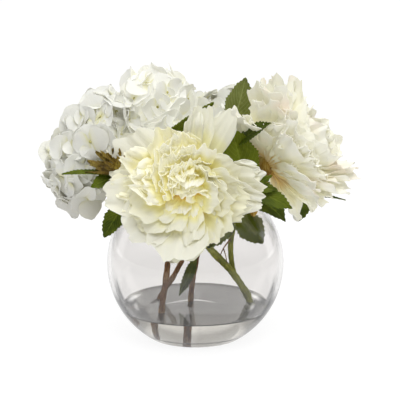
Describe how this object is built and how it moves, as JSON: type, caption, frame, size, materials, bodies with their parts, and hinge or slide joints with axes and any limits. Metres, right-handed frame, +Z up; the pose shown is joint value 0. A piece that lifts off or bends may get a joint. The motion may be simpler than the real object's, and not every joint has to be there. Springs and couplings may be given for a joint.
{
  "type": "floral table centerpiece",
  "caption": "Table centerpiece of cream peonies and white hydrangea heads with green leaves, on cut stems standing in clear water in a round glass bowl.",
  "frame": {"origin": "middle of the flat foot that the bowl stands on", "axes": "+Z up, -Y towards the front, +X to the right as seen from the front"},
  "size_m": [0.2624, 0.1972, 0.2348],
  "materials": {
    "glass": "clear, polished",
    "water": "clear and still",
    "hydrangea_petal": "soft white petal, yellow-green at the middle",
    "peony_petal": "soft cream petal, yellow at the root",
    "leaf": "satin green leaf, paler below",
    "woody_stem": "matt bark",
    "green_stem": "smooth green bark"
  },
  "bodies": {
    "root": {"glass_bowl": "glass", "water": "water", "stem_hydrangea_left": "woody_stem", "stem_hydrangea_top": "woody_stem", "stem_hydrangea_back": "woody_stem", "stem_peonies": "green_stem", "peony_front": "peony_petal", "peony_right": "peony_petal", "hydrangea_left": "hydrangea_petal", "hydrangea_top": "hydrangea_petal", "hydrangea_back": "hydrangea_petal", "leaf_top": "leaf", "leaf_behind_front": "leaf", "leaf_middle": "leaf", "leaf_right_lobed": "leaf", "leaf_right_broad": "leaf", "leaf_right_low": "leaf", "leaf_bowl_broad": "leaf", "leaf_bowl_fork": "leaf", "leaf_stem_low": "leaf", "leaf_left": "leaf", "leaf_left_low": "leaf", "leaf_back_left": "leaf", "leaf_back_right": "leaf"}
  },
  "joints": []
}
